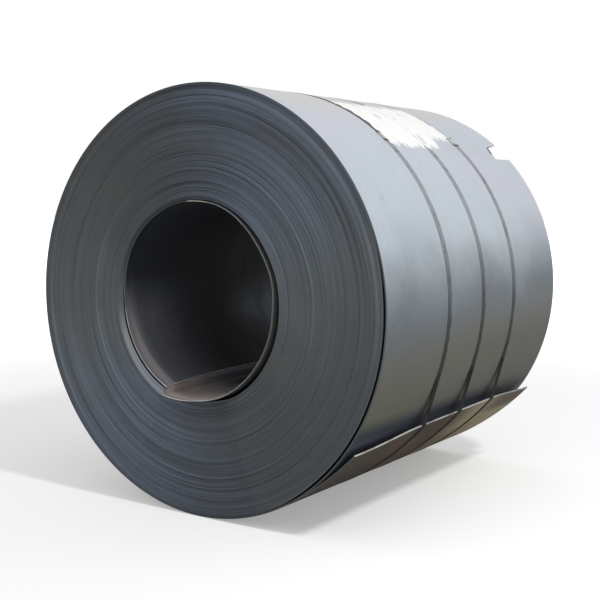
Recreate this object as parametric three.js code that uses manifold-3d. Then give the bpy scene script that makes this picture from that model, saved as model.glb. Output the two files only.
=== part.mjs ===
// A coil of hot-rolled steel strip lying on its side, held by three steel straps.
// Millimetres, +Z up. The coil's axis runs along Y, and the end with the open lap faces -Y.
// The origin is on the floor, under the middle of the coil.
import * as THREE from "three";
import { mergeVertices } from "three/addons/utils/BufferGeometryUtils.js";
import Module from "manifold-3d";

// Strip and coil
const STRIP_THICKNESS = 6;
const STRIP_WIDTH = 1500;
const COIL_DIAMETER = 1640;
const BORE_DIAMETER = 762;
const SEGMENTS = 72; // flats around the coil, with one flat at the very bottom

// Ends: the laps lie in bands, each slipped a little along the axis
const BAND_COUNT = 12;
const BAND_SLIP = 4;
const BAND_TURN = 2.4; // radians of slip pattern from one band to the next

// Inner end of the strip and the slack first lap. Angles are in degrees, anticlockwise seen from -Y:
// HEAD_ANGLE from +X, and the stretches of the first lap from its head end.
const HEAD_ANGLE = 244;
const HEAD_STEP = 26; // how far the lap that the head end lies on stands back
const HEAD_STEP_FADES = [0, 35];
const RIGHT_SLACK = 30; // how far the first lap has sprung into the bore
const RIGHT_SLACK_OPENS = [10, 65];
const RIGHT_SLACK_CLOSES = [115, 205];
const CRESCENT = [28, 193]; // where the sprung lap stands clear of the laps around it
const LEFT_SLACK = 19;
const LEFT_SLACK_OPENS = [262, 306];
const HEAD_GAP = 8; // behind the free end of the first lap
const HEAD_GAP_OPENS = [304, 324];

// Outer lap and the free tail of the strip
const OUTER_GAP = 5; // under the outermost lap, where it is widest
const OUTER_GAP_CREST = 0.4; // what is left of it at its two ends
const OUTER_GAP_OPENS = [-67.5, -47.5];
const OUTER_GAP_CLOSES = [-5, 17.5];
const TAIL_ROOT_ANGLE = -62.5;
const TAIL_RADIUS = 1280; // the tail has relaxed to a larger radius than the coil
const TAIL_LENGTH_NEAR = 395;
const TAIL_LENGTH_FAR = 432;
const TAIL_SETBACK = 40; // the tail's far edge stops short of the coil's far end
const TAIL_SEGMENTS = 5;

// Bite out of the far edge of the outer laps
const NICK_ANGLE = 43.3; // of the bite's lowest corner, on the coil's surface
const NICK_LENGTH = 152; // from that corner to the far end
const NICK_RISE = 56; // height and lean of its near side
const NICK_LEAN = 37;
const NICK_REACH = 220; // how far the biting corner passed through the edge
const NICK_SLANT = 24; // degrees between the bite's direction and the coil's axis
const NICK_SPREAD = 16; // degrees between its lower and upper sides

// Straps and seals
const STRAP_COUNT = 3;
const STRAP_PITCH = 295;
const STRAP_MIDDLE_Y = 15;
const STRAP_WIDTH = 32;
const STRAP_THICKNESS = 0.9;
const CLEARANCE = 0.3; // between pieces that touch
const SEAL_ANGLE = 50;
const SEAL_LENGTH = 56;
const SEAL_WALL = 1.4;
const SEAL_CRIMP_DEPTH = 3.5;
const SEAL_CRIMP_WIDTH = 5;
const SEAL_CRIMP_PITCH = 22;

// Derived
const COIL_RADIUS = COIL_DIAMETER / 2;
const BORE_RADIUS = BORE_DIAMETER / 2;
const HALF_WIDTH = STRIP_WIDTH / 2;
const STEP = 360 / SEGMENTS;
const FIRST_CORNER = -90 + STEP / 2;
const OVERRUN = 20; // how far a cutting tool passes the end it cuts
const WELD_DISTANCE = 1e-4; // corners of a mesh nearer than this are one corner
const BLANK_BORE_RADIUS = BORE_RADIUS - RIGHT_SLACK - OVERRUN;
const FLAT_RADIUS = COIL_RADIUS * Math.cos(THREE.MathUtils.degToRad(STEP / 2)); // axis to a flat
const AXIS_HEIGHT = FLAT_RADIUS + CLEARANCE + STRAP_THICKNESS; // the straps touch the floor

const wasm = await Module();
wasm.setup();

const FINISHES = {
  coil: { color: 0x6c737a, roughness: 0.45, metalness: 0.75 },
  strap: { color: 0x4b4840, roughness: 0.55, metalness: 0.6 },
  seal: { color: 0x8d8c86, roughness: 0.4, metalness: 0.8 },
};

// ---------- solids ----------

function solidOf(geometry) {
  const bare = geometry.clone();
  bare.deleteAttribute("normal");
  bare.deleteAttribute("uv");
  const merged = mergeVertices(bare, WELD_DISTANCE);
  return new wasm.Manifold(
    new wasm.Mesh({
      numProp: 3,
      vertProperties: merged.attributes.position.array,
      triVerts: new Uint32Array(merged.index.array),
    }),
  );
}

function geometryOf(solid) {
  const mesh = solid.getMesh();
  const geometry = new THREE.BufferGeometry();
  geometry.setAttribute("position", new THREE.BufferAttribute(mesh.vertProperties, 3));
  geometry.setIndex(new THREE.BufferAttribute(mesh.triVerts, 1));
  geometry.computeVertexNormals();
  return geometry;
}

// ---------- outlines, drawn in the end-face plane: x to the right, y up ----------

function polar(radius, degrees) {
  const angle = THREE.MathUtils.degToRad(degrees);
  return new THREE.Vector2(radius * Math.cos(angle), radius * Math.sin(angle));
}

// The corner between two flats that is nearest to an angle.
function nearestCorner(angle) {
  return FIRST_CORNER + STEP * Math.round((angle - FIRST_CORNER) / STEP);
}

// The middle of the flat that is nearest to an angle.
function nearestFlat(angle) {
  return nearestCorner(angle - STEP / 2) + STEP / 2;
}

// Angles of the corners between two angles, clear of both.
function cornersBetween(from, to) {
  const clear = STEP / 10;
  const angles = [];
  for (let angle = nearestCorner(from); angle < to - clear; angle += STEP) {
    if (angle > from + clear) {
      angles.push(angle);
    }
  }
  return angles;
}

// A curve from one angle up to a larger one, on a radius that depends on the angle.
function curve(radiusAt, from, to) {
  const angles = [from, ...cornersBetween(from, to), to];
  return angles.map((angle) => polar(radiusAt(angle), angle));
}

// 0 before a stretch of angles, 1 beyond it, and smooth along it.
function ramp(value, [from, to]) {
  return THREE.MathUtils.smoothstep(value, from, to);
}

// A straight prism along the axis, from an outline in the end-face plane.
function axialPrism(outline, nearY, farY, holes = []) {
  const shape = new THREE.Shape(outline);
  shape.holes = holes.map((hole) => new THREE.Path(hole));
  const geometry = new THREE.ExtrudeGeometry(shape, { depth: farY - nearY, bevelEnabled: false });
  geometry.rotateX(Math.PI / 2);
  geometry.translate(0, farY, 0);
  return geometry;
}

// ---------- the wound coil ----------

// How far a band of laps has slipped towards -Y.
function bandSlip(band) {
  return BAND_SLIP * Math.cos(band * BAND_TURN);
}

// The coil turned as one blank: both ends are stepped, because every lap has the strip's width.
function turnedBlank() {
  const lapCount = Math.round((COIL_RADIUS - BORE_RADIUS) / STRIP_THICKNESS);
  const nearEnd = [];
  const farEnd = [];
  for (let band = 0; band < BAND_COUNT; band++) {
    const firstLap = Math.round((lapCount * band) / BAND_COUNT);
    const lastLap = Math.round((lapCount * (band + 1)) / BAND_COUNT);
    const inner = band === 0 ? BLANK_BORE_RADIUS : COIL_RADIUS - (lapCount - firstLap) * STRIP_THICKNESS;
    const outer = COIL_RADIUS - (lapCount - lastLap) * STRIP_THICKNESS;
    const near = -HALF_WIDTH - bandSlip(band);
    nearEnd.push(new THREE.Vector2(inner, near), new THREE.Vector2(outer, near));
    farEnd.push(new THREE.Vector2(inner, near + STRIP_WIDTH), new THREE.Vector2(outer, near + STRIP_WIDTH));
  }
  const profile = [...nearEnd, ...farEnd.reverse(), nearEnd[0].clone()];
  return new THREE.LatheGeometry(profile, SEGMENTS, THREE.MathUtils.degToRad(STEP / 2));
}

// Inner face of the first lap, at an angle counted anticlockwise from the head end.
function firstLapRadius(turn) {
  const headStep = HEAD_STEP * (1 - ramp(turn, HEAD_STEP_FADES));
  const rightSlack = RIGHT_SLACK * ramp(turn, RIGHT_SLACK_OPENS) * (1 - ramp(turn, RIGHT_SLACK_CLOSES));
  const leftSlack = LEFT_SLACK * ramp(turn, LEFT_SLACK_OPENS);
  return BORE_RADIUS + headStep - rightSlack - leftSlack;
}

function innerFace(angle) {
  return firstLapRadius(angle - HEAD_ANGLE);
}

function outerFace(angle) {
  return innerFace(angle) + STRIP_THICKNESS;
}

// The open bore: once round the first lap, then back through the gap behind its free end.
function boreOutline() {
  const end = HEAD_ANGLE + 360;
  const gapStart = HEAD_ANGLE + HEAD_GAP_OPENS[0];
  const behind = (angle) => outerFace(angle) + HEAD_GAP * ramp(angle - HEAD_ANGLE, HEAD_GAP_OPENS);
  const round = curve(innerFace, HEAD_ANGLE, end);
  const back = curve(outerFace, gapStart, end).reverse();
  const forth = curve(behind, gapStart, end).slice(1);
  return [...round, ...back, ...forth];
}

// The crescent between the sprung first lap and the tight laps around it.
function crescentOutline() {
  const [from, to] = CRESCENT.map((turn) => HEAD_ANGLE + turn);
  const tightFace = () => BORE_RADIUS + STRIP_THICKNESS;
  const inner = curve(outerFace, from, to);
  const outer = curve(tightFace, from, to);
  return [...inner, ...outer.reverse()];
}

// The thin gap under the outermost lap, open at both ends of the coil.
function outerGapOutline() {
  const from = OUTER_GAP_OPENS[0];
  const to = OUTER_GAP_CLOSES[1];
  const openness = (angle) => ramp(angle, OUTER_GAP_OPENS) * (1 - ramp(angle, OUTER_GAP_CLOSES));
  const gapAt = (angle) => THREE.MathUtils.lerp(OUTER_GAP_CREST, OUTER_GAP, openness(angle));
  const lapFace = () => COIL_RADIUS - STRIP_THICKNESS;
  const bodyFace = (angle) => lapFace() - gapAt(angle);
  const inner = curve(bodyFace, from, to);
  const outer = curve(lapFace, from, to);
  return [...inner, ...outer.reverse()];
}

// ---------- the tail ----------

function tailLength(y) {
  const near = -HALF_WIDTH;
  const share = (y - near) / (STRIP_WIDTH - TAIL_SETBACK);
  return THREE.MathUtils.lerp(TAIL_LENGTH_NEAR, TAIL_LENGTH_FAR, share);
}

// One face of the tail at a distance along the axis, from its root to its free edge.
function tailCurve(y, depth) {
  const root = nearestCorner(TAIL_ROOT_ANGLE);
  const centre = polar(COIL_RADIUS - TAIL_RADIUS, root);
  const sweep = THREE.MathUtils.radToDeg(tailLength(y) / TAIL_RADIUS);
  const points = [];
  for (let i = 0; i <= TAIL_SEGMENTS; i++) {
    const angle = root + (sweep * i) / TAIL_SEGMENTS;
    points.push(centre.clone().add(polar(TAIL_RADIUS - depth, angle)));
  }
  return points;
}

function tailOutline(y) {
  return [...tailCurve(y, 0), ...tailCurve(y, STRIP_THICKNESS).reverse()];
}

// A solid between two outlines with the same number of points.
function loft(nearOutline, nearY, farOutline, farY) {
  const count = nearOutline.length;
  const positions = [];
  for (const point of nearOutline) {
    positions.push(point.x, nearY, point.y);
  }
  for (const point of farOutline) {
    positions.push(point.x, farY, point.y);
  }
  const index = [];
  for (const [a, b, c] of THREE.ShapeUtils.triangulateShape(nearOutline, [])) {
    index.push(a, b, c);
    index.push(count + a, count + c, count + b);
  }
  for (let i = 0; i < count; i++) {
    const next = (i + 1) % count;
    index.push(i, count + next, next);
    index.push(i, count + i, count + next);
  }
  const geometry = new THREE.BufferGeometry();
  geometry.setAttribute("position", new THREE.Float32BufferAttribute(positions, 3));
  geometry.setIndex(index);
  return geometry;
}

function tail() {
  const nearY = -HALF_WIDTH;
  const farY = HALF_WIDTH - TAIL_SETBACK;
  return loft(tailOutline(nearY), nearY, tailOutline(farY), farY);
}

// ---------- the bite in the far edge ----------

// A four-sided bar driven slantwise through the edge. Its upper side leans outwards with the rim.
function nickTool() {
  const spread = (NICK_LEAN + NICK_REACH) * Math.tan(THREE.MathUtils.degToRad(NICK_SPREAD));
  const outline = [
    new THREE.Vector2(0, 0),
    new THREE.Vector2(NICK_REACH, 0),
    new THREE.Vector2(NICK_REACH, NICK_RISE + spread),
    new THREE.Vector2(-NICK_LEAN, NICK_RISE),
  ];
  const tool = axialPrism(outline, -NICK_LENGTH, 2 * NICK_REACH);
  tool.rotateZ(THREE.MathUtils.degToRad(NICK_SLANT));
  const corner = polar(COIL_RADIUS, NICK_ANGLE);
  tool.translate(corner.x, HALF_WIDTH - NICK_LENGTH, corner.y);
  return tool;
}

function coilGeometry() {
  const near = -HALF_WIDTH - OVERRUN;
  const far = HALF_WIDTH + OVERRUN;
  const cuts = [boreOutline(), crescentOutline(), outerGapOutline()];
  let coil = solidOf(turnedBlank());
  for (const outline of cuts) {
    coil = coil.subtract(solidOf(axialPrism(outline, near, far)));
  }
  coil = coil.add(solidOf(tail()));
  coil = coil.subtract(solidOf(nickTool()));
  return geometryOf(coil);
}

// ---------- straps ----------

// The outline a taut band takes around a set of points, anticlockwise.
function hull(points) {
  const start = points.reduce((low, point) => (point.y < low.y ? point : low));
  const outline = [start];
  for (;;) {
    const last = outline[outline.length - 1];
    let next = points[0] === last ? points[1] : points[0];
    for (const point of points) {
      const turn = next.clone().sub(last).cross(point.clone().sub(last));
      if (turn < 0) {
        next = point;
      }
    }
    if (next === start) {
      return outline;
    }
    outline.push(next);
  }
}

// The same outline moved outwards by a distance.
function offsetOutline(outline, distance) {
  return outline.map((point, i) => {
    const before = outline[(i + outline.length - 1) % outline.length];
    const after = outline[(i + 1) % outline.length];
    const inward = point.clone().sub(before).normalize();
    const outward = after.clone().sub(point).normalize();
    const normalIn = new THREE.Vector2(inward.y, -inward.x);
    const normalOut = new THREE.Vector2(outward.y, -outward.x);
    const mitre = normalIn.clone().add(normalOut).divideScalar(1 + normalIn.dot(normalOut));
    return point.clone().addScaledVector(mitre, distance);
  });
}

function strapGeometry(y) {
  const corners = cornersBetween(-90, 270).map((angle) => polar(COIL_RADIUS, angle));
  const tailFace = tailCurve(y + STRAP_WIDTH / 2, 0).slice(1);
  const path = hull([...corners, ...tailFace]);
  const inner = offsetOutline(path, CLEARANCE);
  const outer = offsetOutline(path, CLEARANCE + STRAP_THICKNESS);
  return axialPrism(outer, y - STRAP_WIDTH / 2, y + STRAP_WIDTH / 2, [inner]);
}

// A seal: a cap folded over the strap, crimped by pairs of notches in both sides.
// It is drawn flat, length along x, strap width along y, its open side at z = 0.
function sealGeometry() {
  const halfLength = SEAL_LENGTH / 2;
  const halfWidth = STRAP_WIDTH / 2 + CLEARANCE + SEAL_WALL;
  const channelHeight = STRAP_THICKNESS + CLEARANCE;
  const side = [];
  for (const middle of [-SEAL_CRIMP_PITCH / 2, SEAL_CRIMP_PITCH / 2]) {
    side.push(new THREE.Vector2(middle - SEAL_CRIMP_WIDTH / 2, 0));
    side.push(new THREE.Vector2(middle, SEAL_CRIMP_DEPTH));
    side.push(new THREE.Vector2(middle + SEAL_CRIMP_WIDTH / 2, 0));
  }
  const nearSide = side.map((point) => new THREE.Vector2(point.x, point.y - halfWidth));
  const farSide = side.map((point) => new THREE.Vector2(-point.x, halfWidth - point.y));
  const outline = [
    new THREE.Vector2(-halfLength, -halfWidth),
    ...nearSide,
    new THREE.Vector2(halfLength, -halfWidth),
    new THREE.Vector2(halfLength, halfWidth),
    ...farSide,
    new THREE.Vector2(-halfLength, halfWidth),
  ];
  const height = channelHeight + SEAL_WALL;
  const cap = new THREE.ExtrudeGeometry(new THREE.Shape(outline), { depth: height, bevelEnabled: false });
  const channel = new THREE.BoxGeometry(2 * SEAL_LENGTH, STRAP_WIDTH + 2 * CLEARANCE, 2 * channelHeight);
  return geometryOf(solidOf(cap).subtract(solidOf(channel)));
}

// ---------- scene graph ----------

const steelCoil = new THREE.Group();
const onAxis = new THREE.Group();
onAxis.position.z = AXIS_HEIGHT;
steelCoil.add(onAxis);

const coil = new THREE.Mesh(coilGeometry(), new THREE.MeshStandardMaterial(FINISHES.coil));
coil.name = "coil";
onAxis.add(coil);

const sealAngle = nearestFlat(SEAL_ANGLE);
const sealSeat = polar(FLAT_RADIUS + CLEARANCE, sealAngle);
for (let i = 0; i < STRAP_COUNT; i++) {
  const y = STRAP_MIDDLE_Y + (i - (STRAP_COUNT - 1) / 2) * STRAP_PITCH;

  const strap = new THREE.Mesh(strapGeometry(y), new THREE.MeshStandardMaterial(FINISHES.strap));
  strap.name = `strap_${i + 1}`;
  onAxis.add(strap);

  const seal = new THREE.Mesh(sealGeometry(), new THREE.MeshStandardMaterial(FINISHES.seal));
  seal.name = `strap_seal_${i + 1}`;
  seal.position.set(sealSeat.x, y, sealSeat.y);
  seal.rotation.y = THREE.MathUtils.degToRad(90 - sealAngle);
  onAxis.add(seal);
}

export default steelCoil;
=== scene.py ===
"""Looks of the steel coil, in metres and in the frame of the CAD part.

The coil's axis runs along Y, AXIS_HEIGHT above the floor, and its end with the open first lap faces -Y.
Angles are in degrees, anticlockwise from +X as seen from -Y.
"""

import math

import bmesh
import bpy
import numpy as np
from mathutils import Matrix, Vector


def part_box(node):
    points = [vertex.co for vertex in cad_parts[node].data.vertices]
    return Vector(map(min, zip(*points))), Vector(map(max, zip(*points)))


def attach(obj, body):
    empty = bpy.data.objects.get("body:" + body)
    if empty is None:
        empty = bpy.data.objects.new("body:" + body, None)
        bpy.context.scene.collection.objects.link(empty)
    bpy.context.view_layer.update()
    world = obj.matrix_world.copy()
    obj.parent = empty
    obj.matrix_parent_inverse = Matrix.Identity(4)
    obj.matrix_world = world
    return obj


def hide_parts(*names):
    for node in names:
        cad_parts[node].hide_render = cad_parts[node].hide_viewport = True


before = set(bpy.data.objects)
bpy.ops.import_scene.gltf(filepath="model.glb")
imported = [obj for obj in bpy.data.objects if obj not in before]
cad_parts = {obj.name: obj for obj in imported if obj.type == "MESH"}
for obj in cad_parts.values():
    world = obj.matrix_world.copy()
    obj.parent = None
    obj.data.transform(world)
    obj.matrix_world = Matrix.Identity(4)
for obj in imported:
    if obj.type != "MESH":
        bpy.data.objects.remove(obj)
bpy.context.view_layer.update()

MM = 0.001

# Strip and coil
STRIP_THICKNESS = 6 * MM
STRIP_WIDTH = 1500 * MM
COIL_RADIUS = 820 * MM
BORE_RADIUS = 381 * MM
SEGMENTS = 144  # steps once around
LAP_COUNT = round((COIL_RADIUS - BORE_RADIUS) / STRIP_THICKNESS)
HALF_WIDTH = STRIP_WIDTH / 2
LAP_AIR = 0.1 * MM  # between two tight laps
EDGE_BEVEL = 0.9 * MM  # rounding of the strip's sheared edges
FIRST_BEVEL = 2 * MM  # the same on the slack first lap, worn wider
WIDEST_BEVEL = 0.4  # share of a sheet's thickness that a bevel takes at most
SHARP_ANGLE = 35  # edges that turn by more than this stay sharp
GROOVE_DEPTH = 0.5 * MM  # how deep the joint between two lap edges shows
PINCHED_THICKNESS = 0.3 * MM  # what is left of a lap where the gap under the outermost one reaches it

# Ends: the laps lie in bands, each slipped a little along the axis, and no two laps lie quite level
BAND_COUNT = 12
BAND_SLIP = 1.15 * MM
BAND_TURN = 2.4  # radians of a cosine from band to band, so that their slips don't repeat
LAP_SLIP = 0.45 * MM
SLIP_ANGLE = 57  # the laps lie least level along this direction and opposite to it
SLIP_SWING = 0.55  # share by which they slip more there, and less across it
LAP_WAVE = 0.4 * MM
MOST_WAVES = 3  # in one lap
SLIP_LIMIT = 3.7 * MM
RANDOM_SEED = 7

# Inner end of the strip and the slack first lap. Spans are turns anticlockwise from START_ANGLE.
HEAD_ANGLE = 244.5
KINK_LEAD = 1.8  # the lap behind the head starts to step outwards this many degrees before the head's end
START_ANGLE = HEAD_ANGLE - KINK_LEAD
HEAD_STEP = 30 * MM
HEAD_STEP_FADES = (-8, 30)
HEAD_SKEW = 5  # the head end is cut out of square: this many degrees back at HEAD_SKEW_DEPTH and beyond
HEAD_SKEW_SPAN = (310, 360 + KINK_LEAD)
HEAD_SKEW_DEPTH = 450 * MM
HEAD_STATIONS = [0, 60 * MM, 150 * MM, 260 * MM, HEAD_SKEW_DEPTH, STRIP_WIDTH]  # depths of the bend's steps
RIGHT_SLACK = 36 * MM
RIGHT_SLACK_OPENS = (-8, 90)
RIGHT_DENT = 11 * MM  # the slack lap comes back by this much on its upper half
RIGHT_DENT_OPENS = (112, 136)
RIGHT_SLACK_CLOSES = (146, 200)
RIGHT_FOLLOW = 0.25  # share of that slack that the laps behind take up
RIGHT_GAP_OPENS = (28, 58)
CLOSING_GAP = 4 * MM
CLOSING_GAP_OPENS = (140, 185)
CLOSING_GAP_CLOSES = (197, 214)
BULGE = 4.5 * MM  # how far the bore is out of round at its upper left
BULGE_OPENS = (198, 225)
BULGE_CLOSES = (255, 290)
LEFT_SLACK = 14 * MM
LEFT_SLACK_OPENS = (262, 306)
HEAD_GAP = 5 * MM  # behind the head's near corner. Deeper in the bore it lies against the lap behind it.
HEAD_GAP_OPENS = (284, 314)
KINK = 1.4  # degrees in which the lap behind the head steps outwards
KINK_TURNS = [KINK / 4, KINK / 2, KINK]  # where the laps get extra sections
KINK_FADE_LAPS = 12  # laps through which that step dies out

# Outer lap and the free tail
OUTER_GAP = 8 * MM
OUTER_GAP_CREST = 0.4 * MM  # what is open at the two ends of that gap
OUTER_GAP_OPENS = (-67.5, -47.5)
OUTER_GAP_CLOSES = (2, 22)
TAIL_ROOT_ANGLE = -62.5
TAIL_RADIUS = 1280 * MM  # at its corners
TAIL_HELD_RADIUS = 1180 * MM  # where the straps hold it
TAIL_LENGTH_NEAR = 398 * MM
TAIL_LENGTH_FAR = 436 * MM
TAIL_TONGUE = 20 * MM  # how much longer the strip runs between its corners
TAIL_TONGUE_OPENS = (-700 * MM, -300 * MM)
TAIL_TONGUE_CLOSES = (330 * MM, 700 * MM)
TAIL_SETBACK = 40 * MM  # how far short of the far end it stops
TAIL_ROWS = 40
TAIL_COLUMNS = 24
TAIL_SINK = 0.3 * MM  # the tail's root lies this deep in the lap it grows out of

# Bite out of the far edge. It is cut by a bar whose section is NICK_RISE high and opens outwards.
NICK_ANGLE = 43.3
NICK_LENGTH = 152 * MM
NICK_RISE = 56 * MM
NICK_LEAN = 37 * MM  # how much deeper the bar cuts at its upper side
NICK_REACH = 220 * MM  # how far it stands out of the coil
NICK_SLANT = 24  # between the bar and the coil's axis
NICK_SPREAD = 16  # slope of its upper side

# Straps
STRAP_COUNT = 3
STRAP_PITCH = 295 * MM
STRAP_MIDDLE_Y = 15 * MM
STRAP_WIDTH = 32 * MM
STRAP_THICKNESS = 0.9 * MM
STRAP_BEVEL = STRAP_THICKNESS / 3
STRAP_LIFT = 0.1 * MM  # between the steel and the strap
STRAP_BEND_STEPS = 4  # over the tail's free edge
STRAP_Y = [STRAP_MIDDLE_Y + (n - (STRAP_COUNT - 1) / 2) * STRAP_PITCH for n in range(STRAP_COUNT)]

# The turned CAD coil has flats. The round one lies inside them, so that the straps just touch the floor.
coil_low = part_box("coil")[0]
strap_low, strap_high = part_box("strap_2")
AXIS_HEIGHT = (strap_low.z + strap_high.z) / 2
ROUND_RADIUS = AXIS_HEIGHT - coil_low.z

EDGE, OUTSIDE, INSIDE, BETWEEN, SHEARED, RUBBED = range(6)  # material slots of the strip


# ---------- meshes ----------


def ramp(value, span):
    """0 before a span, 1 beyond it, and smooth along it."""
    share = np.clip((np.asarray(value, float) - span[0]) / (span[1] - span[0]), 0, 1)
    return share * share * (3 - 2 * share)


def mix(a, b, share):
    return a + (b - a) * share


def polar(radius, degrees):
    """Points in the end-face plane, x to the right and z up from the axis."""
    angle = np.radians(degrees)
    return np.stack([radius * np.cos(angle), radius * np.sin(angle)], axis=-1)


def turn_faces_out(mesh):
    work = bmesh.new()
    work.from_mesh(mesh)
    bmesh.ops.recalc_face_normals(work, faces=work.faces)
    work.to_mesh(mesh)
    work.free()


def swept_mesh(name, sections, kinds, closed, end_kinds=(EDGE, EDGE)):
    """A closed skin over sections, each a loop of points from one station of a path.

    sections has the shape (stations, points, 3). kinds are the material slots of the loop's sides, and
    end_kinds those of the caps over the first and the last section. A cap joins point 1 of the loop
    with 2, 0 with 3, and so on.
    """
    stations, points = sections.shape[:2]
    last = (stations - 1) * points
    spans = stations if closed else stations - 1
    station = np.repeat(np.arange(spans), points)
    point = np.tile(np.arange(points), spans)
    after = (station + 1) % stations * points
    here = station * points
    following = (point + 1) % points
    quads = np.stack([here + point, here + following, after + following, after + point], axis=1)
    faces = quads.tolist()
    slots = np.tile(kinds, spans).tolist()
    if not closed:
        cap = [(n, n + 1, (2 - n) % points, (3 - n) % points) for n in range(2, points // 2 + 1)]
        faces += cap + [tuple(last + n for n in quad) for quad in cap]
        slots += [kind for kind in end_kinds for quad in cap]
    mesh = bpy.data.meshes.new(name)
    mesh.from_pydata(sections.reshape(-1, 3).tolist(), [], faces)
    mesh.polygons.foreach_set("material_index", slots)
    mesh.validate()
    turn_faces_out(mesh)
    return mesh


def smooth(mesh):
    mesh.shade_smooth()
    mesh.set_sharp_from_angle(angle=math.radians(SHARP_ANGLE))


def new_object(mesh, materials):
    for material in materials:
        mesh.materials.append(material)
    obj = bpy.data.objects.new(mesh.name, mesh)
    bpy.context.scene.collection.objects.link(obj)
    return obj


def place(points, y):
    """End-face points and their distances along the axis, as points of the part."""
    x = points[..., 0]
    z = points[..., 1] + AXIS_HEIGHT
    return np.stack([x, np.broadcast_to(y, x.shape), z], axis=-1)


def bevelled(start, end, cut, y, bevel):
    """The side edge of a sheet at y, from one face's points to the other's."""
    return [
        place(start, y + bevel),
        place(mix(start, end, cut), y),
        place(mix(end, start, cut), y),
        place(end, y + bevel),
    ]


def sheet_sections(rows, bevel):
    """Sections of a bent sheet with bevelled side edges.

    Each row is a distance along the axis with the sheet's inner and outer faces there, from near to far.
    """
    near, inner, outer = rows[0]
    far, inner_far, outer_far = rows[-1]
    thickness = np.linalg.norm(outer - inner, axis=1)[:, None]
    cut = np.minimum(bevel / thickness, WIDEST_BEVEL)
    loop = bevelled(inner, outer, cut, near, bevel)
    loop += [place(row_outer, y) for y, row_inner, row_outer in rows[1:-1]]
    loop += bevelled(outer_far, inner_far, cut, far, -bevel)
    loop += [place(row_inner, y) for y, row_inner, row_outer in rows[-2:0:-1]]
    return np.stack(loop, axis=1)


def sheet_kinds(rows, outer, inner, edge=EDGE):
    """Material slots around a sheet of that many rows. edge is for the inner bevels of its side edges."""
    return [edge, EDGE, EDGE] + [outer] * (rows - 1) + [EDGE, EDGE, edge] + [inner] * (rows - 1)


# ---------- the wound strip ----------


def around(extra=()):
    """Turns once around the coil from START_ANGLE, with extra ones where the shape needs them."""
    even = 360 * np.arange(SEGMENTS) / SEGMENTS
    return np.unique(np.concatenate([even, np.asarray(extra, float)]))


def bump_over(value, opens, closes):
    """1 between two spans, rising over the first and falling over the second."""
    return ramp(value, opens) * (1 - ramp(value, closes))


def right_slack(turn):
    """How far the first lap stands off inwards on the right, with the dent on its upper half."""
    sprung = RIGHT_SLACK * bump_over(turn, RIGHT_SLACK_OPENS, RIGHT_SLACK_CLOSES)
    return sprung - RIGHT_DENT * bump_over(turn, RIGHT_DENT_OPENS, RIGHT_SLACK_CLOSES)


def free_radius(turn):
    """Inner face of the first lap, from just past the head end all the way round to it."""
    head_step = HEAD_STEP * (1 - ramp(turn, HEAD_STEP_FADES))
    left_slack = LEFT_SLACK * ramp(turn, LEFT_SLACK_OPENS)
    bulge = BULGE * bump_over(turn, BULGE_OPENS, BULGE_CLOSES)
    return BORE_RADIUS + head_step + bulge - right_slack(turn) - left_slack


BEHIND_HEAD = free_radius(360) + STRIP_THICKNESS + HEAD_GAP


def first_lap_radius(turn):
    """Inner face of the first lap, which begins as the lap behind the head end and steps out past it."""
    return mix(BEHIND_HEAD, free_radius(turn), ramp(turn, (0, KINK)))


def tight_face(turn):
    """Inner face of the tight laps, which the first lap leaves where it is slack."""
    behind_first = free_radius(turn) + STRIP_THICKNESS
    closing_gap = CLOSING_GAP * bump_over(turn, CLOSING_GAP_OPENS, CLOSING_GAP_CLOSES)
    followed = BORE_RADIUS + STRIP_THICKNESS - RIGHT_FOLLOW * right_slack(turn) + closing_gap
    slack = bump_over(turn, RIGHT_GAP_OPENS, CLOSING_GAP_CLOSES)
    face = mix(behind_first, np.maximum(behind_first, followed), slack)
    face = face + HEAD_GAP * ramp(turn, HEAD_GAP_OPENS)
    return mix(BEHIND_HEAD, face, ramp(turn, (0, KINK)))


def outer_gap(angle):
    """Gap under the outermost lap."""
    angle = (np.asarray(angle, float) + 180) % 360 - 180
    inside = (angle >= OUTER_GAP_OPENS[0]) & (angle <= OUTER_GAP_CLOSES[1])
    openness = bump_over(angle, OUTER_GAP_OPENS, OUTER_GAP_CLOSES)
    return np.where(inside, mix(OUTER_GAP_CREST, OUTER_GAP, openness), LAP_AIR)


def lap_slips(angles):
    """How far each lap has slipped towards -Y at each angle. The shape is (laps, angles)."""
    random = np.random.RandomState(RANDOM_SEED)
    lap = np.arange(LAP_COUNT)
    band = lap * BAND_COUNT // LAP_COUNT
    level = BAND_SLIP * np.cos(band * BAND_TURN) + LAP_SLIP * random.uniform(-1, 1, LAP_COUNT)
    waves = random.randint(1, MOST_WAVES + 1, LAP_COUNT)[:, None]
    phase = random.uniform(0, 2 * np.pi, LAP_COUNT)[:, None]
    wave = LAP_WAVE * np.sin(waves * np.radians(angles) + phase)
    unevenness = 1 + SLIP_SWING * np.cos(2 * np.radians(angles - SLIP_ANGLE))
    return np.clip((level[:, None] + wave) * unevenness, -SLIP_LIMIT, SLIP_LIMIT)


def tight_radii(inner, outer, count):
    """Radii of the joints between the tight laps: the inner ones follow the inner face, less and less."""
    nominal = BORE_RADIUS + STRIP_THICKNESS
    joints = []
    for joint in range(count):
        fade = max(0, 1 - joint / KINK_FADE_LAPS)
        radius = nominal + joint * STRIP_THICKNESS + (inner - nominal) * fade
        joints.append(np.minimum(radius, outer - (count - joint) * PINCHED_THICKNESS))
    return joints + [outer]


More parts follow.
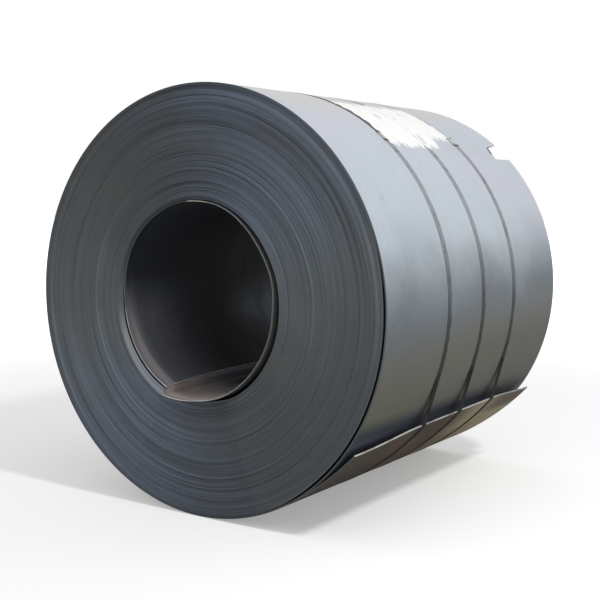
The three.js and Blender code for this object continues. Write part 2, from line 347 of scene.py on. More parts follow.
def tight_laps():
    """The laps between the first and the outermost, as one skin with every lap edge on both ends."""
    turn = around(KINK_TURNS)
    angles = START_ANGLE + turn
    slips = lap_slips(angles)[1:-1]
    outer = ROUND_RADIUS - STRIP_THICKNESS - outer_gap(angles)
    joints = tight_radii(tight_face(turn), outer, len(slips))
    ends = []
    for side in (-1, 1):
        end = []
        for low, high, slip in zip(joints, joints[1:], slips):
            edge = side * HALF_WIDTH - slip
            groove = edge - side * GROOVE_DEPTH
            shoulder = (high - low) * EDGE_BEVEL / STRIP_THICKNESS
            end.append(place(polar(low, angles), groove))
            end.append(place(polar(low + shoulder, angles), edge))
            end.append(place(polar(high - shoulder, angles), edge))
        end.append(place(polar(outer, angles), groove))
        ends.append(end)
    near, far = ends
    kinds = ([EDGE] * (len(near) - 1) + [BETWEEN]) * 2
    return swept_mesh("tight_laps", np.stack(near + far[::-1], axis=1), kinds, closed=True)


def first_lap():
    """The slack lap, from behind the head end, out past it and round to the head end itself."""
    turn = np.append(around(KINK_TURNS), [360, 360 + KINK_LEAD])
    angles = START_ANGLE + turn
    slip = lap_slips(angles)[0]
    rows = []
    for depth in HEAD_STATIONS:
        share = min(depth / HEAD_SKEW_DEPTH, 1)
        bend = share * (2 - share)
        skewed = angles - HEAD_SKEW * bend * ramp(turn, HEAD_SKEW_SPAN)
        inner = first_lap_radius(turn) + HEAD_GAP * bend * ramp(turn, HEAD_GAP_OPENS)
        outer = inner + STRIP_THICKNESS - LAP_AIR
        rows.append((depth - HALF_WIDTH - slip, polar(inner, skewed), polar(outer, skewed)))
    sections = sheet_sections(rows, FIRST_BEVEL)
    kinds = sheet_kinds(len(rows), BETWEEN, INSIDE, RUBBED)
    return swept_mesh("first_lap", sections, kinds, closed=False, end_kinds=(EDGE, SHEARED))


def outermost_lap():
    """The lap that the tail grows out of, as a plain ring."""
    angles = START_ANGLE + around()
    slip = lap_slips(angles)[-1]
    faces = polar(ROUND_RADIUS - STRIP_THICKNESS, angles), polar(ROUND_RADIUS, angles)
    rows = [(side * HALF_WIDTH - slip, *faces) for side in (-1, 1)]
    sections = sheet_sections(rows, EDGE_BEVEL)
    return swept_mesh("outermost_lap", sections, sheet_kinds(len(rows), OUTSIDE, BETWEEN), closed=True)


def tail_arc(y):
    """Centre, radius and length of the tail's arc at a distance along the axis."""
    tongue = bump_over(y, TAIL_TONGUE_OPENS, TAIL_TONGUE_CLOSES)
    across = (y + HALF_WIDTH) / (STRIP_WIDTH - TAIL_SETBACK)
    length = mix(TAIL_LENGTH_NEAR, TAIL_LENGTH_FAR, across) + TAIL_TONGUE * tongue
    radius = mix(TAIL_RADIUS, TAIL_HELD_RADIUS, tongue)
    return polar(ROUND_RADIUS - TAIL_SINK - radius, TAIL_ROOT_ANGLE), radius, length


def tail_face(share, y, depth):
    """Points of the tail, by the share of its length from the root, at a distance along the axis."""
    centre, radius, length = tail_arc(y)
    return centre + polar(radius - depth, TAIL_ROOT_ANGLE + np.degrees(length / radius) * share)


def tail():
    """The free outer end of the strip. Its end is cut a little out of square, so its two sides differ."""
    share = np.linspace(0, 1, TAIL_ROWS + 1)
    rows = []
    for y in np.linspace(-HALF_WIDTH, HALF_WIDTH - TAIL_SETBACK, TAIL_COLUMNS + 1):
        rows.append((y, tail_face(share, y, STRIP_THICKNESS), tail_face(share, y, 0)))
    sections = sheet_sections(rows, EDGE_BEVEL)
    kinds = sheet_kinds(len(rows), OUTSIDE, BETWEEN)
    return swept_mesh("tail", sections, kinds, closed=False, end_kinds=(EDGE, SHEARED))


def nick_cutter():
    """A four-sided bar driven slantwise through the far edge."""
    spread = (NICK_LEAN + NICK_REACH) * math.tan(math.radians(NICK_SPREAD))
    outline = [(0, 0), (NICK_REACH, 0), (NICK_REACH, NICK_RISE + spread), (-NICK_LEAN, NICK_RISE)]
    foot = polar(COIL_RADIUS, NICK_ANGLE)
    cos, sin = math.cos(math.radians(NICK_SLANT)), math.sin(math.radians(NICK_SLANT))
    sections = []
    for y in (-NICK_LENGTH, 2 * NICK_REACH):
        sections.append([(x * cos - y * sin, x * sin + y * cos, z) for x, z in outline])
    corner = [foot[0], HALF_WIDTH - NICK_LENGTH, foot[1] + AXIS_HEIGHT]
    return swept_mesh("nick", np.array(sections) + corner, [EDGE] * len(outline), closed=False)


def cut(obj, cutter):
    """Takes the cutter's volume out of an object."""
    modifier = obj.modifiers.new("cut", "BOOLEAN")
    modifier.operation = "DIFFERENCE"
    modifier.solver = "EXACT"
    modifier.object = cutter
    bpy.context.view_layer.objects.active = obj
    with bpy.context.temp_override(object=obj, active_object=obj):
        bpy.ops.object.modifier_apply(modifier=modifier.name)


def wound_strip(materials):
    """The whole strip as one piece, bitten at its far edge."""
    laps = [new_object(mesh, materials) for mesh in (tight_laps(), outermost_lap(), first_lap(), tail())]
    cutter = new_object(nick_cutter(), materials)
    for lap in laps[:2]:
        cut(lap, cutter)
    bpy.data.objects.remove(cutter)
    body = laps[0]
    with bpy.context.temp_override(active_object=body, object=body, selected_editable_objects=laps):
        bpy.ops.object.join()
    body.name = "wound_strip"
    smooth(body.data)
    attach(body, "root")
    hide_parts("coil")


# ---------- straps ----------


def strap_path(y, lift):
    """Once around a strap, at a height above the steel: coil, tail, and straight back to the coil."""
    root = TAIL_ROOT_ANGLE
    edge = tail_face(1, y, 0)
    reach = math.hypot(edge[0], edge[1])
    leave = math.degrees(math.atan2(edge[1], edge[0]) + math.acos(ROUND_RADIUS / reach))
    coil = polar(ROUND_RADIUS + lift, np.linspace(leave, root + 360, SEGMENTS))
    share = np.linspace(0, 1, TAIL_ROWS + 1)[1:]
    over_tail = tail_face(share, y, -lift - TAIL_SINK)
    centre = tail_arc(y)[0]
    start = math.degrees(math.atan2(edge[1] - centre[1], edge[0] - centre[0]))
    bend = edge + polar(lift + TAIL_SINK, np.linspace(start, leave, STRAP_BEND_STEPS + 1)[1:])
    return np.concatenate([coil, over_tail, bend])


def strap(number, y, material):
    """One strap, of one material all over."""
    faces = strap_path(y, STRAP_LIFT), strap_path(y, STRAP_LIFT + STRAP_THICKNESS)
    rows = [(y + side * STRAP_WIDTH / 2, *faces) for side in (-1, 1)]
    sections = sheet_sections(rows, STRAP_BEVEL)
    kinds = [0] * sections.shape[1]
    obj = new_object(swept_mesh(f"strap_band_{number}", sections, kinds, closed=True), [material])
    smooth(obj.data)
    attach(obj, "root")
    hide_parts(f"strap_{number}")


# ---------- materials ----------

# A span is (start, end) where something sets in, and (start, end, width of its borders) where it ends again.
# With its start above its end, what it sets goes the other way.
NOISE_RANGE = (0.3, 0.7)  # a noise seldom leaves it
WIDE_NOISE_RANGE = (0.25, 0.75)
EVEN_PATCHES = (0.35, 0.65)  # spans of noise, by how much of a surface lies beyond them
BROAD_PATCHES = (0.35, 0.6)
SOME_PATCHES = (0.42, 0.62)
FEW_PATCHES = (0.5, 0.7)
MIX_A, MIX_B, MIX_RESULT = 6, 7, 2  # the colour sockets of a Mix node
DULL_SPECULAR = 0.2  # oxide scale reflects less than a clean surface
WORN_METALLIC = 0.3  # of lap edges and cut ends, under their film of rust


class Shading:
    """A material's node tree, built up from sockets."""

    def __init__(self, name):
        self.material = bpy.data.materials.new(name)
        self.material.use_nodes = True
        self.tree = self.material.node_tree
        self.shader = self.tree.nodes["Principled BSDF"]
        self.position = self.add("ShaderNodeTexCoord").outputs["Object"]
        self.x, self.y, height = self.add("ShaderNodeSeparateXYZ", self.position).outputs
        self.z = self.math("SUBTRACT", height, AXIS_HEIGHT)
        self.radius = self.length(self.x, self.z)
        self.angle = self.math("DEGREES", self.math("ARCTAN2", self.z, self.x))
        self.slope = self.math("DEGREES", self.math("ARCSINE", self.math("DIVIDE", self.z, self.radius)))

    def add(self, kind, *inputs, **settings):
        node = self.tree.nodes.new(kind)
        for key, value in settings.items():
            setattr(node, key, value)
        for socket, value in zip(node.inputs, inputs):
            self.feed(socket, value)
        return node

    def feed(self, socket, value):
        if isinstance(value, bpy.types.NodeSocket):
            self.tree.links.new(value, socket)
        else:
            socket.default_value = value

    def feed_named(self, node, **values):
        for name, value in values.items():
            self.feed(node.inputs[name], value)

    def math(self, operation, *values):
        return self.add("ShaderNodeMath", *values, operation=operation).outputs[0]

    def chain(self, operation, values):
        result = values[0]
        for value in values[1:]:
            result = self.math(operation, result, value)
        return result

    def times(self, *values):
        return self.chain("MULTIPLY", values)

    def total(self, *values):
        return self.chain("ADD", values)

    def mark(self, *shares, light):
        """The lightness that a mark adds where all its shares are 1."""
        return self.times(*shares, light)

    def length(self, *parts):
        """Length of a vector, from its parts."""
        squares = [self.times(part, part) for part in parts]
        return self.math("SQRT", self.total(*squares))

    def ramp(self, value, start, end, low=0, high=1):
        """low before start, high beyond end, smooth between them; start may be above end."""
        node = self.add("ShaderNodeMapRange", value, start, end, low, high, interpolation_type="SMOOTHSTEP")
        return node.outputs[0]

    def within(self, value, start, end, soft, top=1):
        """top inside a span of values, 0 outside it, with soft borders."""
        rising = self.ramp(value, start - soft, start + soft, 0, top)
        falling = self.ramp(value, end + soft, end - soft)
        return self.times(rising, falling)

    def where(self, **spans):
        """1 inside the spans of all the places that are named, such as slope, and 0 outside them."""
        shares = []
        for name, span in spans.items():
            share = self.ramp if len(span) == 2 else self.within
            shares.append(share(getattr(self, name), *span))
        return self.times(*shares)

    def spread(self, noise, low, high):
        """low to high over the range of a noise."""
        return self.ramp(noise, *NOISE_RANGE, low, high)

    def swing(self, noise, size):
        """-size to size over the range of a noise."""
        return self.spread(noise, -size, size)

    def noise(self, scale, detail=2, roughness=0.5, vector=None):
        """Noise over a vector, which is the position if none is given."""
        node = self.add("ShaderNodeTexNoise", self.position if vector is None else vector)
        self.feed_named(node, Scale=scale, Detail=detail, Roughness=roughness)
        return node.outputs["Fac"]

    def scaled_noise(self, parts, detail, roughness=0.6):
        """Noise over three values, each with its own scale."""
        scaled = [self.times(value, scale) for value, scale in parts]
        return self.noise(1, detail, roughness, self.add("ShaderNodeCombineXYZ", *scaled).outputs[0])

    def stretched(self, x, y, z, detail=3, roughness=0.6):
        """Noise with its own scale along each axis."""
        return self.scaled_noise([(self.x, x), (self.y, y), (self.z, z)], detail, roughness)

    def ringed(self, across, along, detail=2):
        """Noise that runs round the axis: its scale across the rings and along them."""
        return self.scaled_noise([(self.radius, across), (self.x, along), (self.z, along)], detail)

    def blend(self, share, a, b):
        """Colour a where the share is 0, and b where it is 1."""
        node = self.add("ShaderNodeMix", share, data_type="RGBA")
        self.feed(node.inputs[MIX_A], rgba(a))
        self.feed(node.inputs[MIX_B], rgba(b))
        return node.outputs[MIX_RESULT]

    def scale(self, colour, factor):
        """A colour made lighter or darker by a factor."""
        node = self.add("ShaderNodeVectorMath", colour, operation="SCALE")
        self.feed_named(node, Scale=factor)
        return node.outputs[0]

    def bump(self, height, distance, strength):
        node = self.add("ShaderNodeBump")
        self.feed_named(node, Strength=strength, Distance=distance, Height=height)
        self.feed_named(self.shader, Normal=node.outputs[0])

    def surface(self, **values):
        """Sets the shader's inputs by their names, in small letters."""
        sockets = {socket.name.lower(): socket for socket in self.shader.inputs}
        for name, value in values.items():
            self.feed(sockets[name.replace("_", " ")], value)


def rgba(colour):
    return (*colour, 1) if isinstance(colour, tuple) and len(colour) == 3 else colour


def srgb(*levels):
    """A linear colour from display levels of 0 to 255, by the curve of the sRGB standard."""
    return tuple(((v / 255 + 0.055) / 1.055) ** 2.4 if v > 10 else v / 255 / 12.92 for v in levels)


# The top and side colours are one scale, as a sky-lit and a shaded copy; the low ones are mossy scale
# darkened with painted shade.
SCALE_SKYLIT_TOP = srgb(180, 189, 197)
SCALE_LILAC = srgb(186, 188, 199)
SCALE_CREST = srgb(189, 187, 187)
SCALE_SHADED_SIDE = srgb(92, 100, 107)
SCALE_LOW = srgb(92, 91, 86)
SCALE_MOSS = srgb(90, 92, 76)
# painted shade and reflection of the gap under the tail, on the scale just above it
SCALE_TAIL_SHADE = srgb(52, 56, 63)
SCALE_BROWN = srgb(60, 50, 40)
SCALE_OLIVE = srgb(140, 132, 107)
SCALE_PINK = srgb(98, 70, 55)
SCALE_TIP = srgb(92, 82, 74)

# Slopes are degrees above the level of the axis, 90 at the crest and -90 at the floor
COLOUR_STIR = 3  # degrees by which the borders between the scale's colours wander
# Painted light by slope: the scale is painted pale towards the crest as a sky reflection, and darker low
# down as painted shade.
SKY_REFLECTION_SLOPES = (-3, 26)
CREST_SLOPES = (56, 74)
LOW_SHADE_SLOPES = (4, -14)
LILAC_PATCHES = (0.4, 0.6)
PINK_PATCHES = (0.45, 0.6)
NEAR_MOSS_SHARE = 0.6
FREE_RADII = (ROUND_RADIUS + 2 * MM, ROUND_RADIUS + 4 * MM)  # of the free tail


def brown_share(s):
    """Where the scale has browned: on the free tail and on the lap just before it."""
    return s.math("MAXIMUM", s.where(radius=FREE_RADII), s.where(slope=(-46, -50), x=(0, 0.1)))


def round_colour(s):
    """Colour of the round outside: blue-grey scale, mossy below, with a painted sky reflection above and
    painted shade low down.
    """
    slope = s.total(s.slope, s.swing(s.noise(2.2, detail=4, roughness=0.55), COLOUR_STIR))
    pale = s.blend(s.ramp(s.noise(1.4, detail=3), *LILAC_PATCHES), SCALE_SKYLIT_TOP, SCALE_LILAC)
    colour = s.blend(s.ramp(slope, *SKY_REFLECTION_SLOPES), SCALE_SHADED_SIDE, pale)
    colour = s.blend(s.ramp(slope, *CREST_SLOPES), colour, SCALE_CREST)
    moss = s.ramp(s.noise(6, detail=3), *SOME_PATCHES, high=0.3)
    near_moss = s.times(s.where(slope=(-32, -20, 4), y=(-0.2, -0.5)), NEAR_MOSS_SHARE)
    low = s.blend(s.total(moss, near_moss), SCALE_LOW, SCALE_MOSS)
    return s.blend(s.ramp(slope, *LOW_SHADE_SLOPES), colour, low)


def with_painted_tail_shade(s, colour):
    """A colour with painted shade above the tail's edge, for the shade and reflection of the gap under it,
    less of it on the far part, and painted lighter deep in that gap.
    """
    tail_shade = s.times(s.where(slope=(-26, -32)), s.ramp(s.y, 0.7, 0, low=0.4), s.where(x=(0, 0.4)))
    # Painted light: deep in under the tail the shade colour is painted much lighter, lifting the gap's real
    # shadow.
    lifted_tone = s.ramp(s.y, -0.6, 0.3, low=2.9, high=9)
    shade_tone = s.ramp(s.slope, -32, -36, low=1, high=lifted_tone)
    return s.blend(tail_shade, colour, s.scale(SCALE_TAIL_SHADE, shade_tone))


def tail_colour(s):
    """Brown, with pink patches midway, olive towards the far end, greyer at its edge, darker low down."""
    pink = s.times(s.ramp(s.noise(4, detail=3), *PINK_PATCHES), s.where(y=(-0.5, -0.1)))
    brown = s.blend(pink, SCALE_BROWN, SCALE_PINK)
    brown = s.blend(s.where(y=(-0.05, 0.3)), brown, SCALE_OLIVE)
    brown = s.blend(s.where(y=(0.25, 0.5), slope=(-42, -37)), brown, SCALE_TIP)
    low_down = s.mark(s.where(slope=(-40, -50), y=(0.6, 0.25)), light=-0.42)
    return s.scale(brown, s.total(low_down, 1))


def scale_colour(s):
    """Colour of the whole outside: the round coil, and the browned tail."""
    return s.blend(brown_share(s), with_painted_tail_shade(s, round_colour(s)), tail_colour(s))


PAINT = srgb(235, 235, 234)
PATCH_LOWER_ANGLES = (46.5, 47.5)
PATCH_UPPER_ANGLES = (71, 69)
PATCH_STEP = 4  # the lower edge lies this many degrees higher beyond PATCH_STEP_SPAN
PATCH_STEP_SPAN = (105 * MM, 150 * MM)
PATCH_RAGGED = 1.6  # degrees by which its lower edge is torn
PATCH_WANDER = 8 * MM  # how far its other borders wander
PATCH_EDGE = 10 * MM  # how far the patch stays off the outer two straps' middles
PATCH_Y = (STRAP_Y[0] + PATCH_EDGE, STRAP_Y[-1] - PATCH_EDGE, 3 * MM)
PATCH_HOLES = ((61.2, -99 * MM), (50.1, 30 * MM), (51.3, 187 * MM))  # angle and y where it is worn through
PATCH_HOLE_RADII = (7 * MM, 14 * MM)
PATCH_HOLE_STRETCH = 2  # the holes are longer by this round the coil
PATCH_THIN = (0.30, 0.40)  # where the paint is thin


def paint_patch(s):
    """Where the worn patch of white paint lies: between the outer straps, with a ragged lower edge."""
    streak = s.stretched(6, 60, 6, roughness=0.7)
    ragged = s.total(s.angle, s.swing(streak, PATCH_RAGGED))
    step = s.ramp(s.y, *PATCH_STEP_SPAN, high=PATCH_STEP)
    above = s.ramp(s.math("SUBTRACT", ragged, step), *PATCH_LOWER_ANGLES)
    below = s.ramp(ragged, *PATCH_UPPER_ANGLES)
    wander = s.swing(s.noise(22, detail=3), PATCH_WANDER)
    across = s.within(s.total(s.y, wander), *PATCH_Y)
    whole = s.ramp(s.noise(13, detail=4, roughness=0.65), *PATCH_THIN, low=0.35)
    for angle, y in PATCH_HOLES:
        up = s.times(s.total(s.angle, -angle), math.radians(ROUND_RADIUS) / PATCH_HOLE_STRETCH)
        away = s.total(s.length(up, s.total(s.y, -y)), wander)
        whole = s.times(whole, s.ramp(away, *PATCH_HOLE_RADII, low=0.3))
    return s.times(above, below, across, whole)


# Painted shade: a dark line along the bite's near wall.
BITE_SHADE = srgb(60, 60, 62)
BITE_SHADE_REACH = (-9 * MM, -7 * MM)  # it lies up to this far before the bite
BITE_SHADE_RISE = (NICK_RISE * 0.4, NICK_RISE * 0.95, 4 * MM)


def painted_bite_shade(s):
    """1 on a painted dark line of shade along the upper half of the bite's near wall."""
    foot_x, foot_z = polar(COIL_RADIUS, NICK_ANGLE).tolist()
    slant = math.radians(NICK_SLANT)
    along_x = s.times(s.total(s.x, -foot_x), math.cos(slant))
    along_y = s.times(s.total(s.y, NICK_LENGTH - HALF_WIDTH), math.sin(slant))
    rise = s.total(s.z, -foot_z)
    into_bite = s.total(along_x, along_y, s.times(rise, NICK_LEAN / NICK_RISE))
    beside = s.ramp(into_bite, *BITE_SHADE_REACH)
    return s.times(beside, s.within(rise, *BITE_SHADE_RISE), s.where(y=(0.55, 0.56)))


def painted_horizon_bands(s):
    """Lightness of painted reflection bands along the coil's side: lighter above a painted horizon, darker
    just below it, more so in two places.
    """
    return s.total(
        s.within(s.slope, 15, 20, 3, top=0.045),
        s.within(s.slope, 0, 7, 3, top=-0.065),
        s.mark(s.where(slope=(2, 10, 3), y=(0.22, 0.48, 0.08)), light=-0.07),
        s.mark(s.where(slope=(-17, -10, 3), y=(0, 0.12)), light=-0.06),
    )


SMUDGES = (0.70, 0.76)
BARE_METALLIC = 0.35  # of the scale, where neither paint nor rust covers it
PAINT_ROUGHNESS = 0.2  # added by the paint


def mill_scale():
    """Outside of the strip: scale with faint streaks along the strip, and the worn patch of paint."""
    s = Shading("mill_scale")
    streak = s.stretched(1.2, 40, 1.2, detail=4)
    speck = s.noise(180)
    smudge = s.ramp(s.noise(16), *SMUDGES, high=-0.12)
    streaks = s.ramp(streak, *WIDE_NOISE_RANGE, low=0.96, high=1.04)
    tone = s.total(streaks, s.swing(speck, 0.03), smudge, painted_horizon_bands(s))
    patch = paint_patch(s)
    scale = s.blend(painted_bite_shade(s), s.scale(scale_colour(s), tone), BITE_SHADE)
    bare = s.math("SUBTRACT", 1, s.math("MAXIMUM", patch, brown_share(s)))
    dull = s.ramp(s.slope, 10, -45, high=0.42)
    s.surface(base_color=s.blend(patch, scale, PAINT), specular_ior_level=DULL_SPECULAR)
    s.surface(metallic=s.times(bare, BARE_METALLIC))
    s.surface(roughness=s.total(s.spread(streak, 0.40, 0.48), s.times(patch, PAINT_ROUGHNESS), dull))
    s.bump(s.total(s.times(streak, 0.4), s.times(speck, 0.1)), distance=0.4 * MM, strength=0.5)
    return s.material


EDGE_BLUE = srgb(71, 80, 92)
EDGE_GREY = srgb(73, 79, 83)
EDGE_RUST = srgb(82, 77, 73)
EDGE_PALE = srgb(150, 152, 157)
HEAD_END = HEAD_ANGLE - 360  # the shading counts angles from -180 to 180

# Rings and arcs of the end faces
DARK_RINGS = (0.765, 0.655, 0.448)  # radii where a few lap edges are dark with scale
DARK_RING_WIDTH = 6 * MM
PALE_RINGS = (0.781, 0.526)  # radii where a few have been rubbed bright, brighter still in the painted sheen
PALE_RING_WIDTH = 12 * MM
TURNING_RING = 0.660  # the radius of one that is bright low down and dark at the top
TURNING_RING_WIDTH = 5 * MM
RING_BORDER = 4 * MM
INNER_RING = (0.380, 0.402, RING_BORDER)  # next to the bore: dark above and below, bright at the left
INNER_PALE_RING = (0.374, 0.411, 2 * MM)
NEXT_RING = (0.404, 0.422, 3 * MM)
OUTER_RING = (0.794, 0.830)  # the outermost laps, darker except on the right
BOTTOM_ARC = (-112, -64, 8)
BRIGHT_ARC = (-172, HEAD_END, 1.5)
BRIGHT_ARC_OPENS = (-180, -154)
BRIGHT_ARC_CLOSES = (HEAD_END + 1, HEAD_END - 1)
SHEEN_ANGLE = 36  # painted sheen: the edges are painted lighter along this direction and opposite to it
BLUE_ANGLE = 72  # and bluer along this one
LOBE_STIR = 10  # degrees by which those borders wander
LOBE_RANGE = (-1, 1)
BLUE_RANGE = (-0.2, 1.4)
EDGE_RUST_SHARE = 0.4
RING_NOISE = (0.36, 0.64)
GAP_NOISE = (0.32, 0.52)


def ring_marks(s, radii, width):
    marks = [s.within(s.radius, radius - width / 2, radius + width / 2, RING_BORDER) for radius in radii]
    return s.total(*marks)


def two_lobes(s, middle, stir):
    """1 along a direction and opposite to it, -1 across it, with borders stirred by a noise."""
    turned = s.total(s.angle, -middle, s.swing(stir, LOBE_STIR))
    return s.math("COSINE", s.math("RADIANS", s.times(turned, 2)))


def arc_marks(s):
    """Lightness that some laps have over a part of a turn."""
    ring = s.where(radius=INNER_RING)
    next_ring = s.where(radius=NEXT_RING)
    outer_ring = s.within(s.radius, *OUTER_RING, RING_BORDER)
    bottom = s.where(angle=BOTTOM_ARC)
    return s.total(
        s.mark(ring, s.where(angle=(52, 168, 8)), light=-0.46),
        s.mark(s.math("MAXIMUM", ring, next_ring), bottom, light=-0.25),
        s.mark(next_ring, s.where(angle=(-10, 165, 8)), light=0.14),
        s.mark(next_ring, s.where(angle=BRIGHT_ARC), light=-0.12),
        s.mark(s.where(radius=(0.386, 0.410, RING_BORDER), angle=(8, 70, 12)), light=0.2),
        s.mark(s.where(radius=(0.770, 0.790, RING_BORDER), angle=(4, 84, 8)), light=0.2),
        s.mark(outer_ring, s.where(angle=(12, 100, 8)), light=-0.22),
        s.mark(s.where(radius=(0.5, 0.43)), bottom, light=-0.14),
        s.mark(s.where(radius=(0.799, 0.807, 2 * MM), angle=(-66, 22, 4)), light=0.3),
    )


def edge_marks(s, rings, fine, stain):
    """Lightness that rings, gaps, a painted sheen and painted shading of the laps' steps give the lap edges.
    """
    sheen = two_lobes(s, SHEEN_ANGLE, stain)
    step_shading = two_lobes(s, SLIP_ANGLE, stain)
    gaps = s.ringed(across=200, along=1.5, detail=0)
    fading = s.ramp(s.noise(2.4), *BROAD_PATCHES)
    pale = s.times(ring_marks(s, PALE_RINGS, PALE_RING_WIDTH), s.ramp(fading, 0, 1, low=0.5))
    turning = s.ramp(s.z, 0.1, -0.2, low=-0.16, high=0.22)
    outermost = s.within(s.radius, *OUTER_RING, 3 * MM)
    return s.total(
        # Ring contrast is painted stronger where the laps lie least level: the rings' own tone with painted
        # light and shade of their steps.
        s.times(s.ramp(rings, *RING_NOISE, low=-1), s.ramp(step_shading, *LOBE_RANGE, low=0.08, high=0.3)),
        s.times(s.swing(fine, 1), s.ramp(step_shading, *LOBE_RANGE, low=0.04, high=0.2)),
        s.times(s.ramp(gaps, *GAP_NOISE, low=-0.42, high=0.08), s.where(angle=(12, 112, 20))),
        s.mark(sheen, light=0.31),
        s.mark(s.where(angle=(72, 156, 14)), light=-0.07),
        s.mark(s.where(angle=(HEAD_END, -70, 1.5)), light=-0.1),
        s.mark(ring_marks(s, DARK_RINGS, DARK_RING_WIDTH), fading, light=-0.2),
        s.times(pale, s.ramp(sheen, *LOBE_RANGE, low=0.1, high=0.42)),
        s.times(ring_marks(s, [TURNING_RING], TURNING_RING_WIDTH), turning),
        s.mark(outermost, s.where(x=(0.5, 0.2)), light=-0.16),
        arc_marks(s),
    )


def lap_edges():
    """Sheared edges of the laps: rings that change from lap to lap and fade around the coil."""
    s = Shading("lap_edges")
    rings = s.ringed(across=60, along=0.9, detail=3)
    fine = s.ringed(across=260, along=2.5)
    stain = s.noise(3, detail=4, roughness=0.6)
    blueness = s.ramp(s.total(two_lobes(s, BLUE_ANGLE, stain), rings), *BLUE_RANGE)
    colour = s.blend(blueness, EDGE_GREY, EDGE_BLUE)
    rust = s.times(s.ramp(stain, *FEW_PATCHES), EDGE_RUST_SHARE)
    colour = s.blend(rust, colour, EDGE_RUST)
    pale_arc = s.times(s.ramp(s.angle, *BRIGHT_ARC_OPENS, high=0.5), s.where(angle=BRIGHT_ARC_CLOSES))
    colour = s.blend(s.times(s.where(radius=INNER_PALE_RING), pale_arc), colour, EDGE_PALE)
    tone = s.total(edge_marks(s, rings, fine, stain), 1)
    s.surface(base_color=s.scale(colour, tone), metallic=WORN_METALLIC)
    s.surface(roughness=s.spread(fine, 0.5, 0.62))
    s.bump(fine, distance=0.5 * MM, strength=0.7)
    return s.material


BORE_LIT_LIP = srgb(132, 134, 141)
LIP_RUST = srgb(137, 131, 133)
BORE_MOUTH_LIT = srgb(108, 110, 116)
BORE_DARK = srgb(38, 40, 44)
BORE_FILM_LIT = srgb(186, 174, 170)
BETWEEN_MOUTH_LIT = srgb(108, 109, 104)  # painted light on the border of the faces between laps at the mouth, on the open side
BORE_PAINTED_LIGHT = srgb(158, 165, 174)  # painted light: a painted reflection in one place deep in the bore, and on the step behind the head end

REFLECTION_ANGLE = 196
REFLECTION_DEPTH = 930 * MM
REFLECTION_SIZE = 200 * MM
REFLECTION_SQUEEZE = 0.6  # distances along the axis count less by this, so the painted reflection lies longer that way
FILM_PATCHES = (0.3, 0.6)
LIP_ANGLE = -127  # the painted pool of light on the bore's lip reaches deepest in this direction
LIP_DEPTH = 65 * MM
LIP_BORDER = (-6 * MM, 6 * MM)
MOUTH_DEPTHS = (40 * MM, 540 * MM)  # between these the painted light at the mouth fades to the dark inside
MOUTH_WANDER = 30 * MM
RIM_DEPTHS = (8 * MM, 44 * MM)  # painted shade: the inside is darker right at its rim

LAP_START = START_ANGLE - 360
HEAD_BORDER = (-0.3, 0.3)  # degrees over which the looks change at the head end
FILM_DEPTHS = (480 * MM, 60 * MM)  # the rust film past the head end fades out between these, as painted light from the mouth
STEP_ANGLES = (LAP_START + KINK + 4, LAP_START + KINK)  # painted light lifts the shadowed step behind the head end
STEP_DEPTHS = (200 * MM, 430 * MM)  # and more of it deeper down
BETWEEN_DEPTHS = (75 * MM, 5 * MM)


def inside_parts(s):
    """What the faces inside the coil are shaded by: streaks, clouds, and the depth from the nearer end."""
    streak = s.stretched(2, 30, 2, detail=4)
    cloud = s.noise(5, detail=4, roughness=0.6)
    return streak, cloud, s.math("SUBTRACT", HALF_WIDTH, s.math("ABSOLUTE", s.y))


def past_head(s, depth):
    """1 past the head end, which is cut out of square."""
    share = s.math("MINIMUM", s.math("DIVIDE", depth, HEAD_SKEW_DEPTH), 1)
    bend = s.times(share, s.math("SUBTRACT", 2, share), HEAD_SKEW)
    return s.ramp(s.total(s.angle, bend, -HEAD_END), *HEAD_BORDER)


def rust_film(s, colour, depth, cloud):
    """A pale film of rust on the lap past the head end, partly painted light from the mouth: thinner deeper
    down and further round.
    """
    past = past_head(s, depth)
    wall = s.where(radius=(BORE_RADIUS - 4 * MM, BORE_RADIUS), angle=(LAP_START - 1, LAP_START))
    low_right = s.times(s.math("MAXIMUM", past, wall), s.where(angle=(-64, -92)))
    film = s.times(low_right, s.ramp(depth, *FILM_DEPTHS), s.ramp(cloud, *FILM_PATCHES, low=0.7))
    # Painted light on the step behind the head end, which lies in shade.
    step = s.times(past, s.where(angle=STEP_ANGLES), s.ramp(depth, *STEP_DEPTHS, high=0.4))
    return s.blend(step, s.blend(film, colour, BORE_FILM_LIT), BORE_PAINTED_LIGHT)


def painted_lit_lip(s, depth):
    """1 on the painted pool of light at the bore's lip, bounded where the rim's shadow would fall."""
    facing = s.math("MAXIMUM", s.math("COSINE", s.math("RADIANS", s.total(s.angle, -LIP_ANGLE))), 0)
    reach = s.times(facing, facing, LIP_DEPTH)
    return s.times(s.ramp(s.math("SUBTRACT", reach, depth), *LIP_BORDER), s.where(z=(0.12, -0.24)))


def painted_bore_reflection(s, cloud):
    """How much painted reflection lies deep in the bore."""
    x, z = polar(BORE_RADIUS, REFLECTION_ANGLE).tolist()
    along = s.times(s.total(s.y, HALF_WIDTH - REFLECTION_DEPTH), REFLECTION_SQUEEZE)
    away = s.length(s.total(s.x, -x), along, s.total(s.z, -z))
    return s.times(s.ramp(away, REFLECTION_SIZE, 0), s.ramp(cloud, *FILM_PATCHES, low=0.4, high=0.9))


